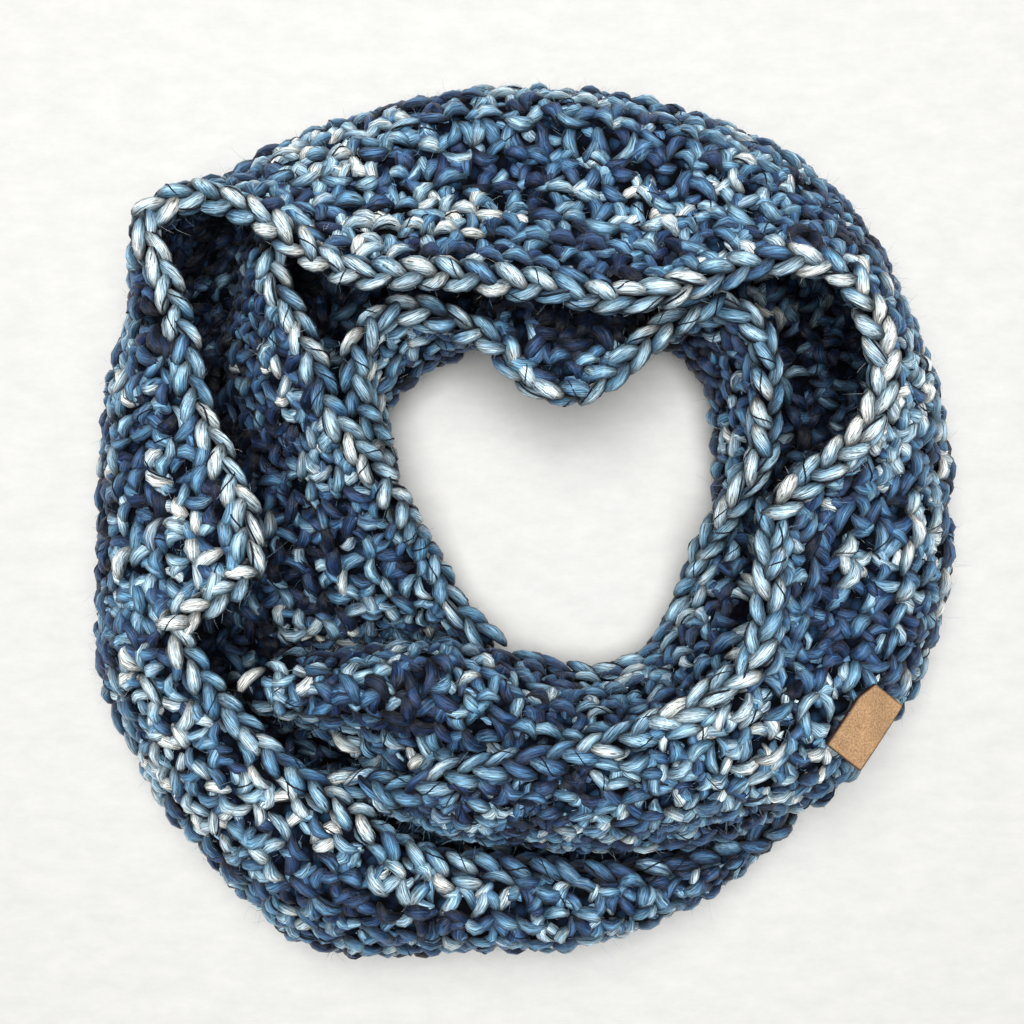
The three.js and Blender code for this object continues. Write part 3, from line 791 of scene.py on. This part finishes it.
def loop_mesh(name, loops):
    """One mesh of teardrop loops, each on its own short arc, with its fibres' directions."""
    n = len(loops["length"])
    ring_at, ring_girth = RING_AT[1:-1, None], RING_GIRTH[1:-1, None]
    girth = loops["girth"][:, None, None]
    skew = CHANCE.uniform(-0.10, 0.10, (n, 1, 1))
    t = ring_at + skew * np.sin(math.pi * ring_at)
    rough = 1 + CHANCE.uniform(-0.05, 0.05, (n, RINGS, SIDES))
    local = in_loop(loops, t, girth * ring_girth * rough, SECTION).reshape(n, -1, 3)
    half, level = loops["length"] / 2, np.zeros(n)
    ends = [np.stack([x, level, -loops["bow"]], axis=1)[:, None] for x in (-half, half)]
    local = np.concatenate([ends[0], local, ends[1]], axis=1)
    verts = on_scarf(loops, local, LOOP_CLEAR)

    # the fibres turn with the ply as they run along the loop
    ply_turn = CHANCE.choice([-1, 1], (n, 1, 1), p=[0.3, 0.7]) * CHANCE.uniform(0.5, 1.5, (n, 1, 1))
    angle = SECTION + ply_turn * t
    around = girth * ring_girth ** 0.5
    fibre = np.stack([
        around * np.cos(angle),
        around * np.sin(angle),
        local[:, 1:-1, 0].reshape(angle.shape),
    ], axis=3).reshape(n, -1, 3)
    tips = np.zeros((n, 1, 3))
    tips[:, 0, 2] = -half
    fibre = np.concatenate([tips, fibre, -tips], axis=1)
    fibre = fibre + CHANCE.uniform(0, 5, (n, 1, 3))

    # dye runs on along each loop, and drifts lighter or darker from one end to the other
    along = np.hstack([np.zeros((n, 1)), np.repeat(t[:, :, 0], SIDES, axis=1), np.ones((n, 1))])
    drift = CHANCE.normal(0, 0.15, (n, 1)) * (2 * along - 1)
    # painted shade: each loop is darker at its ends and underside, and dimmer deep in the folds
    facing_light = np.interp(np.sin(SECTION), *PAINTED_FACING_LIGHT)
    above = np.pad(np.tile(facing_light, RINGS), 1, constant_values=END_LIGHT)
    shade = (0.04 + 0.96 * np.sin(math.pi * along) ** 1.6) * above * loops["dim"][:, None]
    # painted highlight: the top of each loop shifts toward cream and its sides toward blue
    drift = drift + 0.26 * (np.minimum(above, 1.1) - 0.95)
    plies = {
        label: (dyed(loops[tone][:, None] + drift) * shade[..., None]).reshape(-1, 3)
        for label, tone in (("ply_one_dye_and_painted_light", "tone"), ("ply_two_dye_and_painted_light", "second"))
    }
    return array_piece(
        name, verts.reshape(-1, 3), repeated(loop_triangles(), local.shape[1], n), YARN,
        colours=plies, vectors={"fibre": fibre.reshape(-1, 3)})


def array_piece(name, verts, faces, material, colours=None, vectors=None):
    """A smooth mesh object from arrays of points and triangles, with its attributes."""
    mesh = bpy.data.meshes.new(name)
    mesh.vertices.add(len(verts))
    mesh.vertices.foreach_set("co", verts.astype(np.float32).ravel())
    mesh.loops.add(3 * len(faces))
    mesh.loops.foreach_set("vertex_index", faces.astype(np.int32).ravel())
    mesh.polygons.add(len(faces))
    mesh.polygons.foreach_set("loop_start", np.arange(0, 3 * len(faces), 3, dtype=np.int32))
    mesh.update(calc_edges=True)
    mesh.shade_smooth()
    for label, values in (colours or {}).items():
        rgba = np.concatenate([values, np.ones((len(values), 1))], axis=1)
        made = mesh.attributes.new(label, "FLOAT_COLOR", "POINT")
        made.data.foreach_set("color", rgba.astype(np.float32).ravel())
    for label, values in (vectors or {}).items():
        made = mesh.attributes.new(label, "FLOAT_VECTOR", "POINT")
        made.data.foreach_set("vector", values.astype(np.float32).ravel())
    mesh.materials.append(material)
    return put_in_scene(name, mesh)


STRAND_SIDES = 3


def strands(paths, radii):
    """Thin tubes along paths of equal count, closed at both ends."""
    n, count, _ = paths.shape
    ahead = unit(np.gradient(paths, axis=1))
    helper = np.where(np.abs(ahead[..., 2:]) < 0.8, [[[0, 0, 1.0]]], [[[1.0, 0, 0]]])
    u = unit(np.cross(ahead, helper))
    ring = turned(
        2 * math.pi * np.arange(STRAND_SIDES) / STRAND_SIDES,
        u[:, :, None], np.cross(ahead, u)[:, :, None])
    verts = paths[:, :, None] + radii[:, :, None, None] * ring
    triangles = []
    for j in range(STRAND_SIDES):
        k = (j + 1) % STRAND_SIDES
        for i in range(count - 1):
            a, b = i * STRAND_SIDES + j, i * STRAND_SIDES + k
            triangles += [(a, b, a + STRAND_SIDES), (b, b + STRAND_SIDES, a + STRAND_SIDES)]
    last = (count - 1) * STRAND_SIDES
    for k in range(1, STRAND_SIDES - 1):
        triangles += [(0, k + 1, k), (last, last + k, last + k + 1)]
    return verts.reshape(-1, 3), repeated(triangles, count * STRAND_SIDES, n)


# ------- the stitches of one crochet row, five loops each: two leaning posts, two top loops
# and one that crosses behind them.
# Columns: along and down the row (shares of the pitch), lean in degrees from along the row,
# length, girth, lift over the middle of the wall, in millimetres
STITCH = [
    (-0.24, 0.20, 62, 14.4, 3.05, 2.5),
    (0.25, 0.16, 116, 14.0, 2.95, 2.9),
    (0.02, -0.30, 14, 14.6, 3.1, 3.8),
    (0.42, -0.12, -36, 12.8, 2.7, 2.8),
    (0.46, 0.34, 24, 12.4, 2.6, 1.0),
]


def tones(stretch, at, row, gone, side):
    """How light the yarn is at each stitch of a row."""
    first, second = stretch.runs[row]
    tone = DYE_SHARE * first(gone) + DYE_SHARE * second(gone)
    for where, low, high, near, far, face, shift in DYE_AND_SHADE_PLACES:
        if where is stretch and near <= row <= far and face in (0, side):
            tone = tone + shift * ((at >= low) & (at <= high))
    return tone


def lay_row(stretch, row, side):
    """The stitches of one row, on the face (side 1) or the back (side -1)."""
    line_at, _, line_gone = stretch.trace(lambda at: stretch.row_distance(at, row))
    gone = np.arange(0.3 * STITCH_PITCH, line_gone[-1], STITCH_PITCH)
    at = np.interp(gone, line_gone, line_at)
    keep = stretch.row_distance(at, row) < stretch.width_at(at) + stretch.hem_reach
    at, gone = at[keep], gone[keep]
    if not len(at):
        return
    pitch = stretch.pitch_at(at)
    distance = stretch.row_distance(at, row)
    spot = stretch.place(at, distance)[0]
    degrees = STITCH_PITCH / np.maximum(np.hypot(spot[:, 0], spot[:, 1]), 0.03) * 180 / math.pi
    tone = tones(stretch, at, row, gone, side)
    for share_along, share_down, lean, length, girth, lift in STITCH:
        n = len(at)
        here = at + (share_along + 0.5 * (row % 2)) * degrees + CHANCE.normal(0, 0.35, n)
        down = distance + share_down * pitch + CHANCE.normal(0, 0.9 * MM, n)
        point, along, across, out = stretch.place(here, down)
        facing = out * side
        angle = np.radians(side * lean + CHANCE.normal(0, 13, n))
        run = turned(angle, along, across)
        drawn = 0.75 + 0.25 * pitch / ROW_PITCH
        own = CHANCE.normal(0, 0.15, n)
        yield dict(
            at=here,
            least=LEAST_ON_TOP if lift > SUNK_LIFT else LEAST_SUNK,
            centre=point + facing * ((lift + CHANCE.normal(0, 0.45, n)) * MM)[:, None],
            run=run,
            rise=facing,
            length=length * MM * drawn * CHANCE.uniform(0.78, 1.22, n),
            girth=girth * MM * drawn * CHANCE.uniform(0.78, 1.16, n),
            bow=CHANCE.uniform(1.6, 3.9, n) * MM,
            bend=CHANCE.choice([-1, 1], n) * CHANCE.uniform(1.0, 4.6, n) * MM,
            tone=tone + own,
            second=tone + own + CHANCE.normal(0.06, 0.12, n),
            wound=np.full(n, WOUND_IN_ROWS),
            lit=1.0,
        )


# ------- the braided edge: rows of long loops round the bead, which lean to make a V.
# Columns: degrees round the bead from where it faces up, lean, shift along, length, girth
BRAID_REACH = 4.4 * MM
BRAID = [
    (38, 26, 0.0, 17.0, 3.25),
    (-38, -26, 0.5, 17.0, 3.25),
    (112, 14, 0.25, 15.0, 2.9),
    (-112, -14, 0.75, 15.0, 2.9),
]


def lay_braid(stretch, edge_dye):
    """The loops of the braided edge, of the lightness that the table gives."""
    at, line, gone = stretch.trace(np.zeros_like)
    tangent = np.gradient(line, axis=0)
    first, second = stretch.runs[0]
    for turn, lean, shift, length, girth in BRAID:
        stops = np.arange((0.3 + shift) * STITCH_PITCH, gone[-1], STITCH_PITCH)
        n = len(stops)
        stops = stops + CHANCE.normal(0, 0.5 * MM, n)
        here = np.interp(stops, gone, at)
        point, _, across, _ = stretch.place(here, np.zeros(n))
        # the edge can run at a slant to the band, and the braid follows the edge
        along = unit(np.stack([np.interp(stops, gone, tangent[:, k]) for k in range(3)], axis=1))
        across = unit(across - (across * along).sum(axis=1, keepdims=True) * along)
        out = np.cross(across, along)
        up = np.clip(np.degrees(np.arctan2(out[:, 2], -across[:, 2])), -80, 80) * 0.72
        angle = np.radians(up + turn + CHANCE.normal(0, 4, n))
        radial = turned(angle, -across, out)
        leaned = np.radians(lean + CHANCE.normal(0, 6, n))
        run = turned(leaned, along, turned(angle, out, across))
        level = np.interp(here, *np.transpose(edge_dye))
        tone = level + 0.24 * (first(stops) + second(stops) - 1) + CHANCE.normal(0, 0.08, n)
        yield dict(
            at=here,
            least=2,
            centre=point + radial * BRAID_REACH,
            run=run,
            rise=radial,
            length=length * MM * CHANCE.uniform(0.9, 1.1, n),
            girth=girth * MM * CHANCE.uniform(0.9, 1.1, n),
            bow=CHANCE.uniform(0.8, 1.9, n) * MM,
            bend=CHANCE.normal(0, 0.6, n) * MM,
            tone=tone,
            second=tone + CHANCE.normal(0.06, 0.12, n),
            wound=np.full(n, WOUND_IN_BRAID),
            # painted light: the open braid is brighter, and dimmer from 248 degrees on, where it
            # runs under the roll
            lit=np.interp(here, (248, 262), (1.16, 0.9)) if stretch is OUTER else 1.08,
        )


def crochet():
    """Every loop of the scarf that can be seen, by the node that it belongs to."""
    by_node = {name: [] for name, *_ in SPANS}
    for number, (stretch, edge_dye) in enumerate(EDGE_DYES):
        stretch.runs = [
            [dye_run(ROW_YARN, step, 100 * number + 2 * row + k) for k, step in enumerate(DYE_RUNS)]
            for row in range(ROWS)
        ]
        groups = list(lay_braid(stretch, edge_dye))
        for row in range(ROWS):
            for side in (1, -1):
                groups += list(lay_row(stretch, row, side))
        for group in groups:
            at = group.pop("at")
            starts = group["centre"] + group["rise"] * LOOK_FROM
            open_looks = np.array([
                openness(point, Vector(facing)) for point, facing in zip(starts, group["rise"])])
            faces_down = group["rise"][:, 2] < FACING_DOWN
            seen = open_looks >= np.where(faces_down, LEAST_UNDER, group.pop("least"))
            # painted shade: loops with few open looks are dimmer, and their tone darker
            taken = np.interp(open_looks, *PAINTED_FOLD_SHADE)
            group["dim"] = taken * group.pop("lit")
            for key in ("tone", "second"):
                group[key] = group[key] - DEEP_PAINTED_SHADE * (1 - taken)
            for name, where, start, end, *_ in SPANS:
                mine = seen & (at >= start) & (at < end)
                if where is stretch and mine.any():
                    by_node[name].append({key: value[mine] for key, value in group.items()})
    return {
        name: {key: np.concatenate([group[key] for group in groups]) for key in groups[0]}
        for name, groups in by_node.items()
    }


def pick(loops, picked):
    return {key: value[picked] for key, value in loops.items()}


def lay_threads(loops):
    """The black thread: it crosses the top of some loops at a slant, or runs down their flank."""
    loops = pick(loops, np.flatnonzero(CHANCE.random(len(loops["wound"])) < loops["wound"]))
    m = len(loops["length"])
    steps = np.linspace(-1, 1, 6)[None, :]
    flank = CHANCE.random((m, 1)) < 0.6
    lean = np.where(flank, 0.40, CHANCE.uniform(0.16, 0.36, (m, 1)))
    lean = lean * CHANCE.choice([-1, 1], (m, 1))
    t = np.clip(0.5 + CHANCE.uniform(-0.14, 0.14, (m, 1)) + lean * steps, 0.03, 0.97)
    flank_at = np.radians(CHANCE.choice([28, 152], (m, 1)))
    angle = np.where(flank, flank_at, math.pi / 2) + steps * np.where(
        flank, CHANCE.normal(0, 0.4, (m, 1)), CHANCE.uniform(1.0, 1.5, (m, 1)))
    girth = loops["girth"][:, None] * np.interp(t, RING_AT, RING_GIRTH) + 0.12 * MM
    paths = on_scarf(loops, in_loop(loops, t, girth, angle), THREAD_CLEAR)
    radii = np.where(flank, 0.50, 0.34) * CHANCE.uniform(0.8, 1.2, (m, 1)) * MM * np.ones((1, 6))
    radii[:, [0, -1]] *= 0.5
    return paths, radii


def lay_fibres(loops):
    """Loose fibres that stand off the loops, 11 for every ten of them."""
    n = len(loops["length"])
    count = int(1.1 * n)
    loops = pick(loops, CHANCE.integers(0, n, count))
    run, rise = loops["run"], loops["rise"]
    angle = CHANCE.uniform(0.15, 0.85, (count, 1)) * math.pi
    away = unit(np.cos(angle) * np.cross(rise, run) + np.sin(angle) * rise)
    t = CHANCE.uniform(-0.35, 0.35, (count, 1))
    start = (
        loops["centre"]
        + run * t * loops["length"][:, None]
        + away * 0.8 * loops["girth"][:, None]
    )
    length = np.minimum(CHANCE.gamma(3.0, 0.65, (count, 1)) + 1.0, 4.5) * MM
    first = unit(0.9 * away + CHANCE.normal(0, 0.8, (count, 3)) + 0.3 * run)
    curl = CHANCE.normal(0, 0.6, (count, 3))
    steps = np.linspace(0, 1, 3)[:, None]
    paths = (
        start[:, None]
        + steps * length[:, None] * first[:, None]
        + steps ** 2 * length[:, None] * curl[:, None] * 0.8
    )
    paths[..., 2] = np.maximum(paths[..., 2], FIBRE_CLEAR)
    radii = np.array([0.05, 0.045, 0.02]) * MM * CHANCE.uniform(0.7, 1.2, (count, 1))
    # the fibres take their loop's tone, which holds the painted shade of the folds, a little
    # lighter
    return paths, radii, np.repeat(dyed(loops["tone"] + 0.12), steps.size * STRAND_SIDES, axis=0)


# ------- the leather tag
def leather_tag():
    """A stiff leather rectangle, one corner of it cut at a slant, just clear of the cloth."""
    bm, u, v = flat_grid(34, 20)
    middle, _, down, out = (found[0] for found in OUTER.place(
        np.array([TAG_AT]), np.array([TAG_FROM_EDGE])))
    turn = math.radians(TAG_TURN)
    down = math.cos(turn) * down + math.sin(turn) * np.cross(out, down)
    ahead = np.cross(out, down)
    along = (u - 0.5) * TAG_LENGTH
    cut = TAG_CORNER_CUT * np.clip(1 - (TAG_LENGTH / 2 - along) / TAG_CORNER_RUN, 0, 1)
    across = cut + v * (TAG_WIDTH - cut)
    low = WALL / 2 + ROW_RELIEF + TAG_CLEARANCE + TAG_THICKNESS / 2
    lift = low - TAG_BOW * (2 * along / TAG_LENGTH) ** 2
    points = middle + along[:, None] * ahead + across[:, None] * down + lift[:, None] * out
    piece = bent_sheet("tag_leather", bm, points, out, TAG_THICKNESS * 0.9, LEATHER)
    from_rim = np.minimum.reduce([TAG_LENGTH / 2 - np.abs(along), across - cut, TAG_WIDTH - across])
    rim = np.clip(1 - from_rim / TAG_SCORCH, 0, 1)
    made = piece.data.attributes.new("rim", "FLOAT", "POINT")
    made.data.foreach_set("value", rim.astype(np.float32))
    rounded = piece.modifiers.new("rounded", "BEVEL")
    rounded.width = 0.28 * MM
    rounded.segments = 2
    rounded.limit_method = "ANGLE"
    return piece


# ------- the surface it lies on, the light and the camera
def pale_floor():
    bm = bmesh.new()
    bmesh.ops.create_grid(bm, x_segments=2, y_segments=2, size=1.6)
    mesh = bpy.data.meshes.new("pale_floor")
    bm.to_mesh(mesh)
    bm.free()
    made, add = new_material("brushed_white_plush")
    where = add("TexCoord").outputs["Object"]
    # brushed pile: tufts about 18 mm long and 9 mm wide, with finer hairs inside them
    brushed = add("Mapping", {"Vector": where, "Scale": (56, 110, 1)})
    mottle = add("TexNoise", {
        "Vector": brushed.outputs[0], "Scale": 1.0, "Detail": 7.0, "Roughness": 0.74})
    tone = add("ValToRGB", {"Fac": mottle.outputs["Fac"]})
    stops = tone.color_ramp.elements
    stops[0].position, stops[0].color = 0.24, colour("#D5D5D3")
    stops[1].position, stops[1].color = 0.76, colour("#E4E3E1")
    pile = add("BsdfPrincipled", {
        "Base Color": tone.outputs[0], "Roughness": 0.9, "Specular IOR Level": 0.1})
    add("OutputMaterial", {"Surface": pile.outputs[0]})
    mesh.materials.append(made)
    floor = put_in_scene("pale_floor", mesh)


def soft_light(name, place, aim, size, watts, tint):
    lamp = bpy.data.lights.new(name, "AREA")
    lamp.energy = watts
    lamp.size = size
    lamp.color = tint
    holder = put_in_scene(name, lamp)
    holder.location = place
    holder.rotation_euler = (Vector(aim) - Vector(place)).to_track_quat("-Z", "Y").to_euler()


def studio():
    pale_floor()
    soft_light("overhead_softbox", (-0.02, 0.08, 1.7), (0, 0, 0), 1.1, 31, (1.0, 1.0, 0.99))
    soft_light("window_light", (-0.2, 0.75, 1.6), (0, 0, 0.03), 0.6, 9, (1.0, 0.99, 0.97))
    world = bpy.data.worlds.new("studio")
    world.use_nodes = True
    sky = world.node_tree.nodes["Background"]
    sky.inputs["Color"].default_value = (0.95, 0.97, 1.0, 1)
    sky.inputs["Strength"].default_value = 0.14
    scene = bpy.context.scene
    scene.world = world
    scene.view_settings.view_transform = "Standard"
    lens = bpy.data.cameras.new("overhead")
    lens.lens = 47.62
    lens.sensor_width = 36
    camera = put_in_scene("overhead", lens)
    camera.location = (-0.0050, 0.0055, 0.600)
    scene.camera = camera


studio()

stitches = crochet()
threads, fibres = [], []
for node_name, stretch, start, end, held, rests_on in SPANS:
    loops = stitches[node_name]
    ground = cloth_ground(f"{node_name}_ground", stretch, start, end)
    crochet_piece = loop_mesh(f"{node_name}_stitches", loops)
    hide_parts(node_name)
    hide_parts(node_name)
    for piece in (ground, crochet_piece):
        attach(piece, "root")
    cut = cloth_area(stretch, start, end)
    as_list(rests_on)
    threads.append(lay_threads(loops))
    fibres.append(lay_fibres(loops))

paths, radii = map(np.concatenate, zip(*threads))
binder = array_piece("binder_threads", *strands(paths, radii), THREAD)
paths, radii, tints = map(np.concatenate, zip(*fibres))
halo = array_piece("loose_fibres", *strands(paths, radii), FIBRE, colours={"tint": tints})
for piece in (binder, halo):
    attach(piece, "root")

tag = leather_tag()
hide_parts("leather_tag")
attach(tag, "root")
